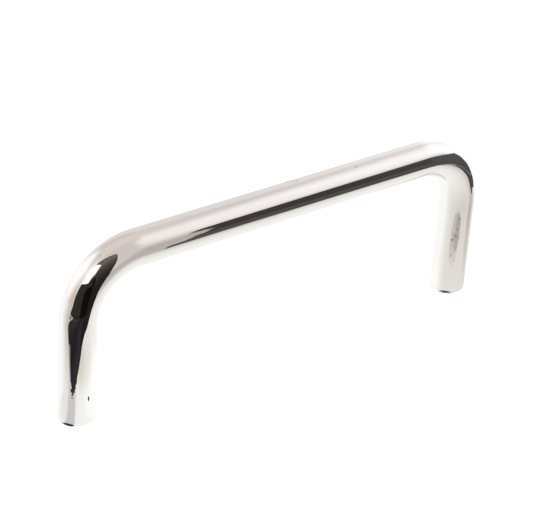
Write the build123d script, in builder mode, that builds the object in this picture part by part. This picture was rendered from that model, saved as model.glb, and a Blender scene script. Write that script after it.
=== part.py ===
from build123d import *
from math import radians, tan
import os

# Bridge pull handle: one round bar bent twice into a bridge, with a tapped foot at each end.
# The origin lies midway between the feet, on the plane they stand on. +X runs along the grip
# and +Z points away from that plane, towards the hand. All sizes are in millimetres.

# Bar and bridge
bar_diameter = 8.0
hole_centres = 100.0  # from the axis of one foot to the axis of the other
projection = 40.0  # from the mounting plane to the outside of the grip
inside_bend_radius = 9.3

# Feet
foot_edge_break = 0.3  # 45 degree chamfer around the faced end

# Hole in each foot: the tapping drill for M4 x 0.7, countersunk so that the screw starts easily
tapping_drill_diameter = 3.3
drilled_depth = 12.0  # from the mounting plane to the full-diameter end of the hole
drill_point_angle = 118.0
mouth_diameter = 4.4
mouth_angle = 90.0

# Worked out from the sizes above
bar_radius = bar_diameter / 2
grip_height = projection - bar_radius
bend_radius = inside_bend_radius + bar_radius
foot_x = hole_centres / 2
drill_radius = tapping_drill_diameter / 2
mouth_radius = mouth_diameter / 2
mouth_depth = (mouth_radius - drill_radius) / tan(radians(mouth_angle / 2))
drill_point_depth = drill_radius / tan(radians(drill_point_angle / 2))

with BuildPart() as handle_bar:
    # The bar's centreline climbs one leg, crosses as the grip and comes down the other leg.
    with BuildLine(Plane.XZ) as centreline:
        FilletPolyline(
            (-foot_x, 0),
            (-foot_x, grip_height),
            (foot_x, grip_height),
            (foot_x, 0),
            radius=bend_radius,
        )
    with BuildSketch(Plane.XY) as bar_section:
        with Locations((-foot_x, 0)):
            Circle(bar_radius)
    sweep()

    # Both feet are faced square on the mounting plane, and their sharp rims are broken.
    foot_rims = handle_bar.edges().filter_by(GeomType.CIRCLE).group_by(Axis.Z)[0]
    chamfer(foot_rims, length=foot_edge_break)

    # Each foot is drilled from below along its own axis, with a countersunk mouth.
    for side in (-1, 1):
        foot_axis = Axis((side * foot_x, 0, 0), (0, 0, 1))
        with BuildSketch(Plane.XZ.shift_origin((side * foot_x, 0, 0))) as drilled_hole:
            with BuildLine() as hole_outline:
                Polyline(
                    (0, 0),
                    (mouth_radius, 0),
                    (drill_radius, mouth_depth),
                    (drill_radius, drilled_depth),
                    (0, drilled_depth + drill_point_depth),
                    close=True,
                )
            make_face()
        revolve(axis=foot_axis, mode=Mode.SUBTRACT)

handle_bar.part.label = "handle_bar"

os.makedirs("parts", exist_ok=True)
export_step(handle_bar.part, "parts/handle_bar.step")
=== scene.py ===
import math

import bpy
from mathutils import Matrix, Vector


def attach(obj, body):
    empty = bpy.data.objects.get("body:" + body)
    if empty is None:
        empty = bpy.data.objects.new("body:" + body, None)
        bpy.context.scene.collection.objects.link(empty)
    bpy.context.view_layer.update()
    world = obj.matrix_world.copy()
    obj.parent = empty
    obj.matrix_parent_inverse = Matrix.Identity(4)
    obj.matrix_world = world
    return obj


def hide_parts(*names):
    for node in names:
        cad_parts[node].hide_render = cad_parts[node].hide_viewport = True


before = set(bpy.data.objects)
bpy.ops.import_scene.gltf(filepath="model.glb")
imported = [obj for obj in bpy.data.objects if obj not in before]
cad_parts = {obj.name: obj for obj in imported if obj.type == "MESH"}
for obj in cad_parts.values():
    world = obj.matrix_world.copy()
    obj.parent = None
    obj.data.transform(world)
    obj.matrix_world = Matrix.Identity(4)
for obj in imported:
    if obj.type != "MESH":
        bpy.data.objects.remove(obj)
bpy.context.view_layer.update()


# ---- Camera ----
# A long lens held above and to the left of the handle, turned a few degrees about its own axis.
# The bearing is counted from straight in front of the grip, and the distance runs to the aim point.
MM = 0.001
scene = bpy.context.scene
CAMERA_BEARING = math.radians(-38.499)
CAMERA_HEIGHT = math.radians(30.707)
CAMERA_ROLL = math.radians(3.973)
CAMERA_DISTANCE = 429.23 * MM
CAMERA_AIM = Vector((-2.333 * MM, 0.0, 21.859 * MM))
LENS = 135.201
SENSOR_WIDTH = 36.0

camera_back = Vector((
    math.sin(CAMERA_BEARING) * math.cos(CAMERA_HEIGHT),
    -math.cos(CAMERA_BEARING) * math.cos(CAMERA_HEIGHT),
    math.sin(CAMERA_HEIGHT),
))
level_right = (-camera_back).cross(Vector((0.0, 0.0, 1.0))).normalized()
level_up = level_right.cross(-camera_back)
camera_right = level_right * math.cos(CAMERA_ROLL) + level_up * math.sin(CAMERA_ROLL)
camera_up = level_up * math.cos(CAMERA_ROLL) - level_right * math.sin(CAMERA_ROLL)
camera_turn = Matrix((camera_right, camera_up, camera_back)).transposed()

camera_data = bpy.data.cameras.new("camera")
camera_data.sensor_width = SENSOR_WIDTH
camera_data.lens = LENS
camera_data.clip_start = 0.01
camera_data.clip_end = 20.0
camera = bpy.data.objects.new("camera", camera_data)
camera.location = CAMERA_AIM + camera_back * CAMERA_DISTANCE
camera.rotation_mode = "QUATERNION"
camera.rotation_quaternion = camera_turn.to_quaternion()
scene.collection.objects.link(camera)
scene.camera = camera
scene.view_settings.view_transform = "Standard"


# ---- The bar ----
# One length of 8 mm round steel bar, bent cold at both ends to make the bridge. Each end is faced
# square and its rim broken, then drilled and tapped M4 from below for the screw that holds the
# handle. It is polished along its length and chromium plated all over before it is used.
BAR_RADIUS = 4.0 * MM
FOOT_X = 50.0 * MM
GRIP_Z = 36.0 * MM
BEND_RADIUS = 13.3 * MM
RIM_BREAK = 0.3 * MM
MOUTH_RADIUS = 2.2 * MM
THREAD_PITCH = 0.7 * MM
THREAD_CREST = 1.65 * MM
THREAD_ROOT = 2.0 * MM
THREAD_TURNS = 14
CREST_FLAT = 0.298  # a share of the pitch, as is the root's
ROOT_FLAT = 0.125
RUN_OUT_TURNS = 2.5  # where the tap's lead leaves the thread shallow
DRILLED_DEPTH = 12.0 * MM
DRILL_POINT = 0.99 * MM
BAR_SIDES = 96
BEND_STEPS = 48
HOLDING = 0.25 * MM  # from each end of a bend to the ring that keeps the straight bar's shading straight
RINGS_PER_TURN = 16
SLACK = 0.01 * MM
MERGE_DISTANCE = 0.002 * MM
SMOOTH_ANGLE = math.radians(32.0)

left_foot = Vector((-FOOT_X, 0.0, 0.0))
bend_centre = Vector((BEND_RADIUS - FOOT_X, 0.0, GRIP_Z - BEND_RADIUS))
face_radius = BAR_RADIUS - RIM_BREAK


def push(x, y, z):
    bpy.ops.mesh.extrude_region_move(TRANSFORM_OT_translate={"value": (x, y, z)})


def from_foot(point):
    return math.hypot(point.x + FOOT_X, point.y)


def pick_edges_beyond(radius):
    """Selects the edges that lie further than the radius from the foot's axis, and nothing else."""
    bpy.ops.mesh.select_all(action="DESELECT")
    bpy.ops.object.mode_set(mode="OBJECT")
    points = bar.data.vertices
    for edge in bar.data.edges:
        edge.select = all(from_foot(points[i].co) > radius for i in edge.vertices)
    bpy.ops.object.mode_set(mode="EDIT")


# The faced end of the left foot, and the hole pushed up through it one ring at a time
bpy.ops.object.select_all(action="DESELECT")
bpy.ops.mesh.primitive_circle_add(
    vertices=BAR_SIDES, radius=face_radius, fill_type="NGON", location=left_foot
)
bar = bpy.context.object
bar.name = "plated_bar"
bar.data.name = "plated_bar"
bpy.ops.object.transform_apply(location=True, rotation=True, scale=True)
bpy.ops.object.mode_set(mode="EDIT")
bpy.ops.mesh.select_mode(type="FACE")
bpy.ops.mesh.select_all(action="SELECT")
bpy.ops.mesh.inset(thickness=face_radius - MOUTH_RADIUS)
for ring in range(THREAD_TURNS * RINGS_PER_TURN):
    push(0.0, 0.0, THREAD_PITCH / RINGS_PER_TURN)
push(0.0, 0.0, DRILLED_DEPTH - THREAD_TURNS * THREAD_PITCH)
push(0.0, 0.0, DRILL_POINT)
bpy.ops.mesh.merge(type="CENTER")

# The broken rim, the leg, the bend and the left half of the grip, each grown from the last ring
bpy.ops.mesh.select_mode(type="EDGE")
pick_edges_beyond(face_radius - SLACK)
push(0.0, 0.0, RIM_BREAK)
bpy.ops.transform.resize(
    value=(BAR_RADIUS / face_radius, BAR_RADIUS / face_radius, 1.0), center_override=left_foot
)
push(0.0, 0.0, bend_centre.z - RIM_BREAK - HOLDING)
push(0.0, 0.0, HOLDING)
bpy.ops.mesh.spin(
    steps=BEND_STEPS, angle=math.radians(90.0), center=bend_centre, axis=(0.0, -1.0, 0.0)
)
push(HOLDING, 0.0, 0.0)
push(-bend_centre.x - HOLDING, 0.0, 0.0)
bpy.ops.object.mode_set(mode="OBJECT")

# The tapped thread: the wall is twisted so that its edges climb with the thread, and set in or out
for vertex in bar.data.vertices:
    reach = from_foot(vertex.co)
    height = vertex.co.z
    if reach > MOUTH_RADIUS + SLACK or reach < SLACK or height > DRILLED_DEPTH + SLACK:
        continue
    side = math.atan2(vertex.co.y, vertex.co.x + FOOT_X) / math.tau % 1.0
    flank = (abs(side - 0.5) * 2.0 - CREST_FLAT) / (1.0 - CREST_FLAT - ROOT_FLAT)
    groove = min(1.0, max(0.0, flank))
    run_out = min(1.0, max(0.0, (THREAD_TURNS - height / THREAD_PITCH) / RUN_OUT_TURNS))
    wall = THREAD_CREST + (THREAD_ROOT - THREAD_CREST) * groove * run_out
    wall = max(wall, MOUTH_RADIUS - height)
    climbed = math.tau * (side + height / THREAD_PITCH)
    vertex.co.x = wall * math.cos(climbed) - FOOT_X
    vertex.co.y = wall * math.sin(climbed)

# The other half is the same half turned round, which keeps its thread right-handed
bpy.ops.object.mode_set(mode="EDIT")
bpy.ops.mesh.select_mode(type="VERT")
bpy.ops.mesh.select_all(action="SELECT")
bpy.ops.mesh.duplicate()
bpy.ops.transform.rotate(value=math.pi, orient_axis="Z", center_override=(0.0, 0.0, 0.0))
bpy.ops.mesh.select_all(action="SELECT")
bpy.ops.mesh.remove_doubles(threshold=MERGE_DISTANCE)
bpy.ops.mesh.normals_make_consistent(inside=False)
bpy.ops.object.mode_set(mode="OBJECT")
bpy.ops.object.shade_smooth_by_angle(angle=SMOOTH_ANGLE)

# Where each point lay on the straight bar before it was bent: polishing lines follow this
half_bar = bend_centre.z + BEND_RADIUS * math.pi / 2.0 - bend_centre.x
unbent = bar.data.attributes.new("unbent_bar", "FLOAT_VECTOR", "POINT")
for vertex, straightened in zip(bar.data.vertices, unbent.data):
    end = 1.0 if vertex.co.x > 0.0 else -1.0
    across = abs(vertex.co.x) + bend_centre.x
    above = vertex.co.z - bend_centre.z
    if above <= 0.0:
        along, out = vertex.co.z, abs(vertex.co.x) - FOOT_X
    elif across <= 0.0:
        along, out = half_bar - abs(vertex.co.x), vertex.co.z - GRIP_Z
    else:
        along = bend_centre.z + BEND_RADIUS * math.atan2(above, across)
        out = math.hypot(above, across) - BEND_RADIUS
    straightened.vector = (end * (half_bar - along), out, vertex.co.y)


# These make nodes in the material or the group in hand, whose own nodes and links are named so
def sums(operation, first, second=0.0):
    node = nodes.new("ShaderNodeMath")
    node.operation = operation
    for socket, value in zip(node.inputs, (first, second)):
        if isinstance(value, float):
            socket.default_value = value
        else:
            links.new(value, socket)
    return node.outputs["Value"]


def times(*values):
    """All the values multiplied together."""
    product = values[0]
    for value in values[1:]:
        product = sums("MULTIPLY", product, value)
    return product


def level(value, low, high, at_low=0.0, at_high=1.0):
    """A soft change from one amount to another as the value goes from low to high."""
    node = nodes.new("ShaderNodeMapRange")
    node.interpolation_type = "SMOOTHSTEP"
    links.new(value, node.inputs["Value"])
    ends = {"From Min": low, "From Max": high, "To Min": at_low, "To Max": at_high}
    for name, end in ends.items():
        if isinstance(end, float):
            node.inputs[name].default_value = end
        else:
            links.new(end, node.inputs[name])
    return node.outputs["Result"]


def noise(vector, scale, detail):
    node = nodes.new("ShaderNodeTexNoise")
    links.new(vector, node.inputs["Vector"])
    if isinstance(scale, float):
        node.inputs["Scale"].default_value = scale
    else:
        links.new(scale, node.inputs["Scale"])
    node.inputs["Detail"].default_value = detail
    return node.outputs["Fac"]


def mixed(mask, first, second, kind="RGBA"):
    """The first where the mask is 0 and the second where it is 1, as colours or as plain amounts."""
    node = nodes.new("ShaderNodeMix")
    node.data_type = kind
    links.new(mask, node.inputs["Factor"])
    sides = (node.inputs[6], node.inputs[7]) if kind == "RGBA" else (node.inputs[2], node.inputs[3])
    for socket, value in zip(sides, (first, second)):
        if isinstance(value, (float, tuple)):
            socket.default_value = value
        else:
            links.new(value, socket)
    return node.outputs[2] if kind == "RGBA" else node.outputs[0]


def new_group(name, vectors, amounts):
    """A node group with the named inputs, which puts out one mask. Gives its ends, nodes and links."""
    group = bpy.data.node_groups.new(name, "ShaderNodeTree")
    for socket in vectors:
        group.interface.new_socket(socket, in_out="INPUT", socket_type="NodeSocketVector")
    for socket in amounts:
        group.interface.new_socket(socket, in_out="INPUT", socket_type="NodeSocketFloat")
    group.interface.new_socket("Mask", in_out="OUTPUT", socket_type="NodeSocketFloat")
    given = group.nodes.new("NodeGroupInput").outputs
    result = group.nodes.new("NodeGroupOutput").inputs["Mask"]
    return group, given, result, group.nodes, group.links


def new_material(name):
    """A material with no nodes yet. Gives its nodes and links with it."""
    material = bpy.data.materials.new(name)
    material.use_nodes = True
    material.node_tree.nodes.clear()
    return material, material.node_tree.nodes, material.node_tree.links


# A mark in the plating, held to the unbent bar: its place along it and round it, size and ragged edge.
# It is full to 0.75 of its size and gone by 1.15
mark, given, result, nodes, links = new_group(
    "mark_on_bar", ["Unbent"], ["Along", "Turn", "Half Length", "Half Width", "Ragged", "Grain"]
)
parts = nodes.new("ShaderNodeSeparateXYZ")
links.new(given["Unbent"], parts.inputs["Vector"])
turn = sums("ARCTAN2", parts.outputs["Z"], parts.outputs["Y"])
length_off = sums("SUBTRACT", parts.outputs["X"], given["Along"])
width_off = times(sums("SUBTRACT", turn, given["Turn"]), BAR_RADIUS)
length_part = sums("DIVIDE", length_off, given["Half Length"])
width_part = sums("DIVIDE", width_off, given["Half Width"])
pointed = sums("POWER", sums("ABSOLUTE", length_part), 3.0)
spread = sums("SQRT", sums("ADD", pointed, times(width_part, width_part)))
uneven = times(sums("SUBTRACT", noise(given["Unbent"], given["Grain"], 3.0), 0.5), given["Ragged"])
links.new(level(sums("ADD", spread, uneven), 1.15, 0.75), result)

chrome, nodes, links = new_material("bright_chrome")
shader = nodes.new("ShaderNodeBsdfPrincipled")
shader.inputs["Metallic"].default_value = 1.0
finish = nodes.new("ShaderNodeOutputMaterial")
links.new(shader.outputs["BSDF"], finish.inputs["Surface"])

unbent_place = nodes.new("ShaderNodeAttribute")
unbent_place.attribute_name = "unbent_bar"
place = nodes.new("ShaderNodeTexCoord")


def scaled(source, x, y=1.0, z=1.0):
    """A vector stretched along each axis, so that a pattern on it is drawn out."""
    node = nodes.new("ShaderNodeMapping")
    links.new(source, node.inputs["Vector"])
    node.inputs["Scale"].default_value = (x, y, z)
    return node.outputs["Vector"]


def marked(along, degrees, half_length, half_width, ragged, grain):
    """1 on a mark, whose place and size are in millimetres along the unbent bar and degrees round it."""
    node = nodes.new("ShaderNodeGroup")
    node.node_tree = mark
    links.new(unbent_place.outputs["Vector"], node.inputs["Unbent"])
    node.inputs["Along"].default_value = along * MM
    node.inputs["Turn"].default_value = math.radians(degrees)
    node.inputs["Half Length"].default_value = half_length * MM
    node.inputs["Half Width"].default_value = half_width * MM
    node.inputs["Ragged"].default_value = ragged
    node.inputs["Grain"].default_value = grain
    return node.outputs["Mask"]


# The plating: a slow waviness left by bending, fine lines left by the polishing wheel, faint haze
BRIGHT = (0.935, 0.935, 0.94, 1.0)
CLOUDED = (0.925, 0.922, 0.92, 1.0)
DARKER_FRONT = (0.785, 0.765, 0.755, 1.0)
DULLED = (0.60, 0.58, 0.573, 1.0)
SCUFFED = (0.48, 0.463, 0.458, 1.0)
PITTED = (0.33, 0.315, 0.31, 1.0)
# black of the nicks, and of the painted shade at the front of each foot's rim
NICK_AND_RIM_SHADE_BLACK = (0.05, 0.047, 0.045, 1.0)
SMEARED = (0.66, 0.645, 0.63, 1.0)
bar_vector = unbent_place.outputs["Vector"]
waves = noise(scaled(bar_vector, 0.45), 170.0, 2.0)
lines = noise(scaled(bar_vector, 0.02), 5200.0, 2.0)
haze = noise(scaled(bar_vector, 0.3), 260.0, 4.0)
grains = noise(scaled(bar_vector, 0.5), 1800.0, 2.0)
roughness = sums("ADD", level(haze, 0.35, 0.75, 0.012, 0.05), level(lines, 0.45, 0.8, 0.0, 0.02))
colour = mixed(haze, BRIGHT, CLOUDED)

# The lower front of the right leg is darker and rougher, and a dulled and pitted streak runs down it
axes = nodes.new("ShaderNodeSeparateXYZ")
links.new(place.outputs["Object"], axes.inputs["Vector"])
on_right = level(axes.outputs["X"], 43.0 * MM, 46.0 * MM)
in_front = level(axes.outputs["Y"], -0.3 * MM, -2.4 * MM)
low_down = level(axes.outputs["Z"], 33.0 * MM, 22.0 * MM)
darker_front_right = times(on_right, in_front, low_down)
fainter_below = level(axes.outputs["Z"], 6.5 * MM, 14.0 * MM, 0.3, 1.0)
streak = times(marked(65.7, -126.0, 7.3, 0.92, 0.5, 900.0), fainter_below)
core = marked(64.2, -119.5, 5.0, 0.55, 0.6, 900.0)
pits = times(sums("MAXIMUM", streak, core), level(grains, 0.56, 0.64))

# One dark nick is low on the left leg, and a faint one on the grip beside a small smear. The dark marks
# at the front of each foot's rim are painted shade, where the broken rim mirrors the shade under it
nicks_and_rim_shade = marked(-73.75, -94.0, 0.6, 0.2, 0.3, 3000.0)
# Painted shade: the dark marks at the front of each foot's rim
for along_bar, round_bar, half_length in ((-79.9, -34.0, 0.3), (79.75, -136.0, 0.2)):
    nicks_and_rim_shade = sums("MAXIMUM", nicks_and_rim_shade, marked(along_bar, round_bar, half_length, 1.1, 0.5, 2500.0))
nicks_and_rim_shade = sums("MAXIMUM", nicks_and_rim_shade, times(marked(18.35, -14.0, 0.28, 0.24, 0.3, 3000.0), 0.3))
smear = marked(2.5, 8.5, 0.6, 0.2, 0.2, 3000.0)
for along_bar, round_bar in ((1.6, 14.0), (3.4, 3.0)):
    smear = sums("MAXIMUM", smear, marked(along_bar, round_bar, 0.6, 0.2, 0.2, 3000.0))

# The pits and nicks, the painted rim shade among them, are rougher and sunk a little
broken = sums("MAXIMUM", pits, nicks_and_rim_shade)
for mask, worn_colour in (
    (smear, SMEARED), (darker_front_right, DARKER_FRONT), (streak, DULLED), (core, SCUFFED), (pits, PITTED), (nicks_and_rim_shade, NICK_AND_RIM_SHADE_BLACK)
):
    colour = mixed(mask, colour, worn_colour)
for mask, worn_roughness in ((darker_front_right, 0.07), (streak, 0.17), (broken, 0.4)):
    roughness = mixed(mask, roughness, worn_roughness, "FLOAT")

# Where the plating does not reach: the tapped hole is bare cut steel, greyer and duller inside
DARK_STEEL = (0.42, 0.41, 0.40, 1.0)
LIGHT_STEEL = (0.62, 0.61, 0.60, 1.0)
foot_off = sums("SUBTRACT", sums("ABSOLUTE", axes.outputs["X"]), FOOT_X)
side_off = axes.outputs["Y"]
from_axis = sums("SQRT", sums("ADD", times(foot_off, foot_off), times(side_off, side_off)))
hole_end = DRILLED_DEPTH + 1.2 * MM
at_foot = level(axes.outputs["Z"], hole_end, hole_end - 0.1 * MM)
bore = times(level(from_axis, MOUTH_RADIUS, MOUTH_RADIUS - 0.1 * MM), at_foot)
cut_lines = noise(scaled(place.outputs["Object"], 1.0, 1.0, 9.0), 1500.0, 3.0)
colour = mixed(bore, colour, mixed(cut_lines, DARK_STEEL, LIGHT_STEEL))
roughness = mixed(bore, roughness, level(cut_lines, 0.3, 0.7, 0.24, 0.42), "FLOAT")

# The faced ends keep the lathe's rings under the plating
RING_SPACING = 0.14 * MM
faced = level(axes.outputs["Z"], 0.33 * MM, 0.3 * MM)
rings = sums("SINE", times(from_axis, math.tau / RING_SPACING))
roughness = mixed(faced, roughness, 0.14, "FLOAT")

# The relief of all of them, in millimetres
heights = sums("ADD", times(waves, 0.006), times(lines, 0.00012))
heights = sums("ADD", heights, times(rings, faced, 0.0012))
heights = sums("SUBTRACT", heights, times(broken, 0.01))
relief = nodes.new("ShaderNodeBump")
relief.inputs["Strength"].default_value = 1.0
relief.inputs["Distance"].default_value = MM
links.new(heights, relief.inputs["Height"])
links.new(colour, shader.inputs["Base Color"])
links.new(roughness, shader.inputs["Roughness"])
links.new(relief.outputs["Normal"], shader.inputs["Normal"])
bar.data.materials.clear()
bar.data.materials.append(chrome)

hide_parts("handle_bar")
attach(bar, "root")


# ---- Studio: white sheet ----
# The handle stands on a sheet of white paper, which fills the view and whitens the lower half of
# the bar. The paper takes the bar's own shadow, and greys towards the camera.
def tone(red, green, blue, gain=1.0):
    """A screen colour from 0 to 255, as the light that shows it."""
    light = []
    for value in (red, green, blue):
        value /= 255.0
        light.append(gain * (value / 12.92 if value <= 0.04045 else ((value + 0.055) / 1.055) ** 2.4))
    return (*light, 1.0)


PLATING = 1.0 / 0.93  # what the bar takes off a reflected colour


def graded(nodes, links, axis, stops):
    """A colour that changes along one axis of a piece, from its places in millimetres."""
    place = nodes.new("ShaderNodeTexCoord")
    axes = nodes.new("ShaderNodeSeparateXYZ")
    links.new(place.outputs["Object"], axes.inputs["Vector"])
    first, last = stops[0][0], stops[-1][0]
    along = nodes.new("ShaderNodeMapRange")
    links.new(axes.outputs[axis], along.inputs["Value"])
    along.inputs["From Min"].default_value = first * MM
    along.inputs["From Max"].default_value = last * MM
    colours = nodes.new("ShaderNodeValToRGB")
    links.new(along.outputs["Result"], colours.inputs["Fac"])
    colours.color_ramp.elements[0].color = stops[0][1]
    colours.color_ramp.elements[1].color = stops[-1][1]
    for where, colour in stops[1:-1]:
        colours.color_ramp.elements.new((where - first) / (last - first)).color = colour
    return colours.outputs["Color"]


SHEET_SIZE = 6.0
SHEET_BELOW = 0.02 * MM  # so that the feet do not share a plane with it
bpy.ops.object.select_all(action="DESELECT")
bpy.ops.mesh.primitive_plane_add(size=SHEET_SIZE, location=(0.0, 0.0, -SHEET_BELOW))
sheet = bpy.context.object
sheet.name = "white_sheet"
bpy.ops.object.transform_apply(location=True, rotation=True, scale=True)
paper, nodes, links = new_material("white_paper")
place = nodes.new("ShaderNodeTexCoord")
axes = nodes.new("ShaderNodeSeparateXYZ")
links.new(place.outputs["Object"], axes.inputs["Vector"])


def past(axis, start, end):
    """0 before start and 1 past end, along an axis of the sheet in millimetres."""
    return level(axes.outputs[axis], start * MM, end * MM)


def from_place(operation, x, y):
    node = nodes.new("ShaderNodeVectorMath")
    node.operation = operation
    links.new(place.outputs["Object"], node.inputs[0])
    node.inputs[1].default_value = (x * MM, y * MM, 0.0)
    return node.outputs["Value" if operation == "DISTANCE" else "Vector"]


def near(x, y, full, none):
    """1 within a distance of a place on the sheet, 0 beyond another, in millimetres."""
    return level(from_place("DISTANCE", x, y), none * MM, full * MM)


def turned(x, y, start, end):
    """0 before start and 1 past end, as the bearing from a place on the sheet turns, in degrees."""
    sides = nodes.new("ShaderNodeSeparateXYZ")
    links.new(from_place("SUBTRACT", x, y), sides.inputs["Vector"])
    bearing = sums("ARCTAN2", sides.outputs["X"], sides.outputs["Y"])
    return level(bearing, math.radians(start), math.radians(end))


# What the metal sees of the sheet: it greys towards the camera, with paler and greyer patches to the left
# of the grip. Grey patches round each foot and by the mat are painted shade, among them the legs' shadows
sheet_colour = graded(nodes, links, "Y", [
    (-90, tone(184, 176, 172, PLATING)),
    (-70, tone(200, 194, 190, PLATING)),
    (-55, tone(217, 212, 207, PLATING)),
    (-44, tone(228, 224, 219, PLATING)),
    (-25, tone(237, 235, 229, PLATING)),
    (-8, tone(242, 241, 235, PLATING)),
    (1, tone(244, 243, 238, PLATING)),
    (9, tone(250, 249, 245, PLATING)),
    (150, tone(249, 247, 245, PLATING)),
    (700, tone(241, 240, 238, PLATING)),
])
left_of_grip = times(past("X", -52, -44), past("X", -18, -26))
# The legs' shadows, painted on the sheet where the metal sees it
left_leg_painted_shadow = times(turned(-50, 0, -96, -111), turned(-50, 0, -148, -134))
right_leg_painted_shadow = times(turned(50, 0, 88, 118), turned(50, 0, 147, 127), near(50, 0, 36, -5))
for mask, colour in (
    (times(past("X", -20, -42), past("Y", -14, -28)), tone(226, 223, 217, PLATING)),
    (times(left_of_grip, past("Y", -20, -9)), tone(254, 253, 250, PLATING)),
    (near(42, 5, 2, 11), tone(253, 252, 249, PLATING)),
    # painted shade by the dark mat's edge
    (near(-56, -28, 3, 14), tone(211, 209, 199, PLATING)),
    (times(past("X", -50, -95), turned(-54, 0, -38, -95)), tone(196, 188, 182, PLATING)),
    # painted shade beside the left foot
    (near(-61, 0, 3, 8), tone(230, 228, 225, PLATING)),
    (left_leg_painted_shadow, tone(200, 197, 198, PLATING)),
    (right_leg_painted_shadow, tone(208, 205, 199, PLATING)),
):
    sheet_colour = mixed(mask, sheet_colour, colour)
in_metal = nodes.new("ShaderNodeEmission")
links.new(sheet_colour, in_metal.inputs["Color"])

# What the camera sees of it: white paper with the handle's soft shadow
lit = nodes.new("ShaderNodeBsdfDiffuse")
lit.inputs["Color"].default_value = (0.9, 0.9, 0.9, 1.0)
glow = nodes.new("ShaderNodeEmission")
glow.inputs["Color"].default_value = (1.0, 1.0, 1.0, 1.0)
path = nodes.new("ShaderNodeLightPath")
links.new(times(path.outputs["Is Camera Ray"], 0.5), glow.inputs["Strength"])
seen = nodes.new("ShaderNodeAddShader")
links.new(lit.outputs["BSDF"], seen.inputs[0])
links.new(glow.outputs["Emission"], seen.inputs[1])
reflected = nodes.new("ShaderNodeMixShader")
links.new(path.outputs["Is Glossy Ray"], reflected.inputs["Fac"])
links.new(seen.outputs["Shader"], reflected.inputs[1])
links.new(in_metal.outputs["Emission"], reflected.inputs[2])


def from_above(nodes, links, shader):
    """The shader on the upper side of a piece, and nothing at all from below, so that a view of the
    handle's underside is clear."""
    under = nodes.new("ShaderNodeNewGeometry")
    clear = nodes.new("ShaderNodeBsdfTransparent")
    sides = nodes.new("ShaderNodeMixShader")
    links.new(under.outputs["Backfacing"], sides.inputs["Fac"])
    links.new(shader, sides.inputs[1])
    links.new(clear.outputs["BSDF"], sides.inputs[2])
    return sides.outputs["Shader"]


finish = nodes.new("ShaderNodeOutputMaterial")
links.new(from_above(nodes, links, reflected.outputs["Shader"]), finish.inputs["Surface"])
sheet.data.materials.append(paper)


# ---- Studio: dark things round the sheet ----
# A dark mat and dark furniture in front on the left, and a dark wall and bench on the right. They
# stand outside the view and show only in the bar, as do the edges and slips of paper among them.
def card(name, corners, colour):
    """A flat card that only the metal sees. Its corners are in millimetres, and its colour is plain,
    or an axis with stops along it."""
    bpy.ops.object.select_all(action="DESELECT")
    bpy.ops.mesh.primitive_circle_add(vertices=len(corners), radius=1.0, fill_type="NGON")
    made = bpy.context.object
    made.name = name
    for vertex, corner in zip(made.data.vertices, corners):
        vertex.co = Vector(corner) * MM
    finish, nodes, links = new_material(name)
    light = nodes.new("ShaderNodeEmission")
    if isinstance(colour[0], str):
        links.new(graded(nodes, links, *colour), light.inputs["Color"])
    else:
        light.inputs["Color"].default_value = colour
    shown = nodes.new("ShaderNodeOutputMaterial")
    links.new(light.outputs["Emission"], shown.inputs["Surface"])
    made.data.materials.append(finish)
    made.visible_camera = False
    made.visible_diffuse = False
    made.visible_shadow = False
    made.visible_transmission = False
    return made


def lying(height, *corners):
    """Corners of a card that lies flat, at a height above the plane of the feet."""
    return [(x, y, height) for x, y in corners]


def towards(bearing, height=0.0):
    """The direction at a compass bearing from +Y towards +X, and a height above the horizon."""
    b, h = math.radians(bearing), math.radians(height)
    return Vector((math.sin(b) * math.cos(h), math.cos(b) * math.cos(h), math.sin(h)))


def standing(base, bearing, distance, *corners):
    """Corners of an upright card that faces a place on the handle, from their bearings and heights."""
    ahead = towards(bearing)
    found = []
    for corner_bearing, corner_height in corners:
        ray = towards(corner_bearing, corner_height)
        found.append(Vector(base) + ray * (distance / ray.dot(ahead)))
    return found


NEAR_BEND = (-46.0, 0.0, 30.0)
FAR_BEND = (47.0, 0.0, 32.0)
GAP_BLACK = tone(15, 13, 10, PLATING)
CARD_WHITE = (1.1, 1.1, 1.1, 1.0)

# The mat that reaches nearly to the left foot, with its worn edge, and the floor round it
card(
    "dark_mat_left",
    lying(
        0.1, (-61.8, -12.4), (-62.3, -11.6), (-60.8, -12.8), (-61, -11.8), (-62.4, -10.3), (-61.8, -10.6),
        (-61.6, -9.6), (-62.4, -8), (-63.2, -7.1), (-63, -8.8), (-64.4, -7.3), (-65.6, -6.6), (-65, -8.9),
        (-66.9, -8.6), (-68.8, -7.7), (-72, -6.9), (-77, -6.2), (-84, -4.6), (-89, -2.5), (-109, -4),
        (-125, -14), (-130, -30), (-121, -34), (-100, -50), (-82, -61), (-65, -66), (-27.8, -66),
        (-28, -49), (-30, -41.5), (-33, -39.8), (-38, -39.2), (-45, -38.2), (-50.6, -36.2), (-54.6, -33.6),
        (-56.5, -30.6), (-59, -25.5), (-60.6, -21.5), (-61.5, -18.4), (-60.9, -16.6), (-61.8, -14.6),
        (-60.9, -13.6),
    ),
    ("X", [
        (-92, tone(47, 44, 43, PLATING)),
        (-76, tone(33, 30, 31, PLATING)),
        (-63, tone(50, 47, 51, PLATING)),
        (-57, tone(32, 28, 31, PLATING)),
        (-45, tone(37, 32, 33, PLATING)),
    ]),
)
card(
    "worn_edge_of_mat",
    lying(
        0.12, (-69, -7.4), (-77, -6), (-82.5, -4.7), (-83.5, -7), (-81.5, -10.2), (-77, -9.2), (-69, -8.5),
    ),
    tone(140, 137, 133, PLATING),
)
card(
    "crumb_by_mat",
    lying(0.12, (-62.4, -7), (-61.1, -9.2), (-60.7, -8.8), (-61.9, -6.8)),
    tone(120, 116, 118, PLATING),
)
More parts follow.
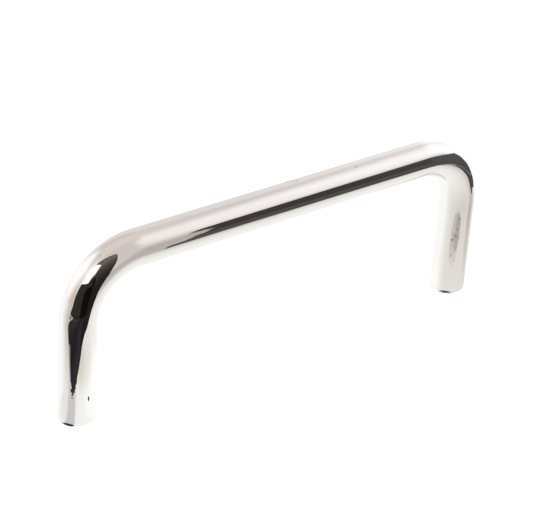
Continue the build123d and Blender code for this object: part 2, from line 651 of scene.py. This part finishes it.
card(
    "edge_of_mat",
    lying(
        0.1, (-130, -30), (-121, -34), (-100, -50), (-82, -61), (-65, -66), (-65, -71), (-90, -70),
        (-112, -56), (-136, -42),
    ),
    ("X", [
        (-128, tone(58, 55, 52, PLATING)),
        (-110, tone(58, 55, 52, PLATING)),
        (-75, tone(33, 30, 29, PLATING)),
    ]),
)
card(
    "slip_left",
    lying(0.1, (-161, -7), (-131, -11), (-134, -28), (-160, -36)),
    ("Y", [
        (-34, tone(92, 88, 84, PLATING)),
        (-20, tone(120, 115, 110, PLATING)),
        (-9, tone(143, 137, 131, PLATING)),
    ]),
)
card(
    "dark_floor_left",
    lying(
        0.08, (-27.5, -60), (-27.8, -85), (-22, -134), (-9, -230), (26, -422), (40, -700), (-900, -700),
        (-900, -170), (-467, -85), (-197, -30), (-160, -38), (-130, -42),
    ),
    tone(34, 30, 28, PLATING),
)
card(
    "black_gap_on_floor",
    lying(
        0.12, (-48, -63), (-54, -83), (-76, -158), (-125, -312), (-165, -440), (-370, -440), (-262, -290),
        (-124, -113), (-94, -73), (-80, -66), (-56, -66),
    ),
    GAP_BLACK,
)

# The dark furniture behind the camera, with a block and a white card in front of it
card(
    "dark_behind_camera",
    standing(
        NEAR_BEND, 211, 450,
        (168, -20), (170, -12), (175, 9), (179, 33), (184, 50), (189, 57), (201, 61), (208, 62.3),
        (217, 63.3), (232, 63.2), (240, 62.3), (247, 61.3), (257, 58), (257, 25.5), (263, 24), (264, 11),
        (259, -4), (259, -20),
    ),
    ("Z", [
        (0, tone(35, 31, 29, PLATING)),
        (110, tone(44, 39, 35, PLATING)),
        (230, tone(58, 51, 45, PLATING)),
        (410, tone(80, 72, 67, PLATING)),
        (640, tone(110, 102, 97, PLATING)),
        (900, tone(90, 82, 77, PLATING)),
        (1400, tone(84, 72, 66, PLATING)),
    ]),
)
card(
    "black_gap",
    standing(
        NEAR_BEND, 211, 445,
        (234, 23), (220, 19), (219, 24), (213, 26), (208, 22), (203, 14.6), (197, 1.3), (194, -6),
        (216, -6), (225, 8.3),
    ),
    GAP_BLACK,
)
card(
    "dark_block",
    standing(
        NEAR_BEND, 236, 95,
        (263.5, 27), (250, 27.4), (240, 26.3), (231, 25.2), (229, 29.5), (218, 26.5), (213, 21.4),
        (208, 15), (207, 12), (224, 16.5), (225.6, 9), (224.3, 1.7), (224.3, -5.3), (218, -10),
        (215, -12.5), (213, -19), (231, -19), (243, -16.5), (262.5, -12.3), (262, -8), (259.5, -2),
        (261, 3), (263.3, 14.6),
    ),
    tone(45, 45, 39, PLATING),
)
card(
    "white_card_left",
    standing(
        NEAR_BEND, 239, 440,
        (261, 24), (231, 22), (229.3, 25.6), (229.7, 28.5), (228.3, 32.2), (224.5, 34), (220, 36),
        (218.2, 39.2), (218.3, 44), (219.3, 48.4), (240, 54), (258, 54.5), (263, 47), (261.5, 37),
    ),
    CARD_WHITE,
)

# The bench and the wall on the right
card(
    "dark_bench_right",
    lying(
        0.05, (12, -72), (15.5, -78.5), (18, -78.5), (20, -77.5), (38, -77), (48, -69), (67, -65),
        (77, -62), (88, -57), (93, -62), (110, -70), (118, -75), (133, -76), (139, -69), (137, -60),
        (132, -47), (122, -41), (108, -36), (99, -29), (95, -24), (103, -21.5), (117, -17), (116, 0),
        (130, 18), (155, 30), (192, 41), (299, 60), (430, 78), (1200, 140), (1200, -1900), (900, -1575),
        (377, -680), (150, -300), (73, -172), (47, -137), (34, -113), (25, -98), (16, -80),
    ),
    ("X", [
        (10, tone(96, 91, 86, PLATING)),
        (60, tone(78, 74, 70, PLATING)),
        (200, tone(76, 73, 72, PLATING)),
    ]),
)
card(
    "soft_edge_right",
    lying(0.06, (101, -28), (89, -28), (80, -30), (74, -24), (80, -19), (91, -20), (101, -23)),
    tone(192, 189, 185, PLATING),
)
card(
    "edge_of_bench",
    lying(
        0.1, (104, -67), (126, -79), (150, -87), (176, -97), (213, -83), (185, -42), (151, 9), (156, 9),
        (193, -42), (225, -87), (178, -107), (146, -96), (122, -84), (102, -70),
    ),
    tone(158, 155, 152, PLATING),
)
card(
    "dark_wall_right",
    standing(
        FAR_BEND, 112, 450,
        (68, -13), (79, -2), (83, 4), (88.5, 10.5), (97, 13.8), (106, 16.2), (126, 18.6), (131, 20),
        (141, 22.5), (152.3, 24), (153.3, 22), (153.2, 21), (154.0, 18.3), (154.5, 16), (154.3, 14.6),
        (154.0, 13.5), (154.2, 11), (154.1, 9), (154.6, 6.5), (154.55, 4.4), (154.8, 2.3), (154.9, 0.4),
        (155.1, -2.5), (155.4, -4.3), (155.3, -8.3), (155, -14), (90, -14),
    ),
    ("X", [
        (300, tone(58, 54, 51, PLATING)),
        (345, tone(60, 56, 54, PLATING)),
        (362, tone(67, 62, 61, PLATING)),
        (385, tone(79, 75, 75, PLATING)),
        (500, tone(79, 76, 76, PLATING)),
    ]),
)


# ---- Studio: shade under the feet ----
# A dark crescent shows on the sheet where each foot's broken rim lifts off it, on the side away
# from the light. It lies flat on the sheet, and the camera sees it too.
CRESCENT_STEPS = 12
SHADE_FROM = 3.71  # just beyond the faced end, in millimetres from the foot's axis, as is the next
SHADE_TO = 3.8
RIM_SHADE = tone(44, 42, 41)


def rim_shade(name, foot_x, bearing, spread, depth):
    """A crescent of shade that starts under the rim of a foot and is deepest at a bearing from it."""
    outer = []
    inner = []
    for step in range(-CRESCENT_STEPS, CRESCENT_STEPS + 1):
        part = step / CRESCENT_STEPS
        ahead = towards(bearing + part * spread)
        reach = SHADE_TO + depth * (1.0 - abs(part) ** 2.5)
        outer.append((foot_x + ahead.x * reach, ahead.y * reach))
        inner.append((foot_x + ahead.x * SHADE_FROM, ahead.y * SHADE_FROM))
    made = card(name, lying(0.02, *inner, *reversed(outer)), RIM_SHADE)
    made.visible_camera = True
    nodes = made.active_material.node_tree.nodes
    links = made.active_material.node_tree.links
    shade = from_above(nodes, links, nodes["Emission"].outputs["Emission"])
    links.new(shade, nodes["Material Output"].inputs["Surface"])


rim_shade("shade_at_left_rim", foot_x=-50, bearing=-114, spread=25, depth=0.12)
rim_shade("shade_at_right_rim", foot_x=50, bearing=-134, spread=25, depth=0.06)


# ---- Studio: light ----
# Plain white light from all round. The metal alone sees the room that it comes from: warm grey walls
# with soft white panels on both sides, which whiten the bar, and greyer ones, which shade it.
world = bpy.data.worlds.new("studio")
scene.world = world
world.use_nodes = True

panel, given, result, nodes, links = new_group(
    "soft_panel", ["Direction", "Facing", "Across", "Up"], ["Half Width", "Half Height", "Soft Edge"]
)


def aligned(axis_name):
    node = nodes.new("ShaderNodeVectorMath")
    node.operation = "DOT_PRODUCT"
    links.new(given["Direction"], node.inputs[0])
    links.new(given[axis_name], node.inputs[1])
    return node.outputs["Value"]


def inside(axis_name, size_name):
    """1 inside the panel's half size, 0 outside it, soft between."""
    turn = sums("ABSOLUTE", sums("ARCTAN2", aligned(axis_name), aligned("Facing")))
    outer = sums("ADD", given[size_name], given["Soft Edge"])
    inner = sums("SUBTRACT", given[size_name], given["Soft Edge"])
    return level(turn, outer, inner)


links.new(times(inside("Across", "Half Width"), inside("Up", "Half Height")), result)

# Each panel's bearing, height, half width, half height and soft edge in degrees, and its tone
nodes = world.node_tree.nodes
links = world.node_tree.links
nodes.clear()
direction = nodes.new("ShaderNodeTexCoord")
room_colour = tone(205, 196, 191, PLATING)
for bearing, height, half_width, half_height, soft_edge, colour in (
    (15, 78, 25, 20, 2, tone(214, 205, 197, PLATING)),
    (65, 14, 82, 32, 8, tone(220, 214, 211, PLATING)),
    (-95, 36, 16, 20, 16, tone(255, 255, 255, PLATING)),
    (115, -5, 35, 65, 10, tone(240, 232, 228, PLATING)),
    (-42, -23, 43, 70, 12, tone(254, 253, 251, PLATING)),
    (46, -22, 7, 50, 10, tone(254, 254, 254, PLATING)),
    (95, -16, 44, 70, 14, tone(255, 255, 255, PLATING)),
    (130, -35, 32, 57, 14, tone(168, 159, 151, PLATING)),
    (-85, -30, 28, 60, 24, tone(205, 190, 181, PLATING)),
):
    facing = towards(bearing, height)
    across = towards(bearing + 90)
    use = nodes.new("ShaderNodeGroup")
    use.node_tree = panel
    links.new(direction.outputs["Generated"], use.inputs["Direction"])
    use.inputs["Facing"].default_value = facing
    use.inputs["Across"].default_value = across
    use.inputs["Up"].default_value = across.cross(facing)
    use.inputs["Half Width"].default_value = math.radians(half_width)
    use.inputs["Half Height"].default_value = math.radians(half_height)
    use.inputs["Soft Edge"].default_value = math.radians(soft_edge)
    room_colour = mixed(use.outputs["Mask"], room_colour, colour)

walls = nodes.new("ShaderNodeBackground")
links.new(room_colour, walls.inputs["Color"])
backdrop = nodes.new("ShaderNodeBackground")  # what all but the metal sees
backdrop.inputs["Color"].default_value = (1.0, 1.0, 1.0, 1.0)
backdrop.inputs["Strength"].default_value = 1.0
path = nodes.new("ShaderNodeLightPath")
choose = nodes.new("ShaderNodeMixShader")
links.new(path.outputs["Is Glossy Ray"], choose.inputs["Fac"])
links.new(backdrop.outputs["Background"], choose.inputs[1])
links.new(walls.outputs["Background"], choose.inputs[2])
shown = nodes.new("ShaderNodeOutputWorld")
links.new(choose.outputs["Shader"], shown.inputs["Surface"])
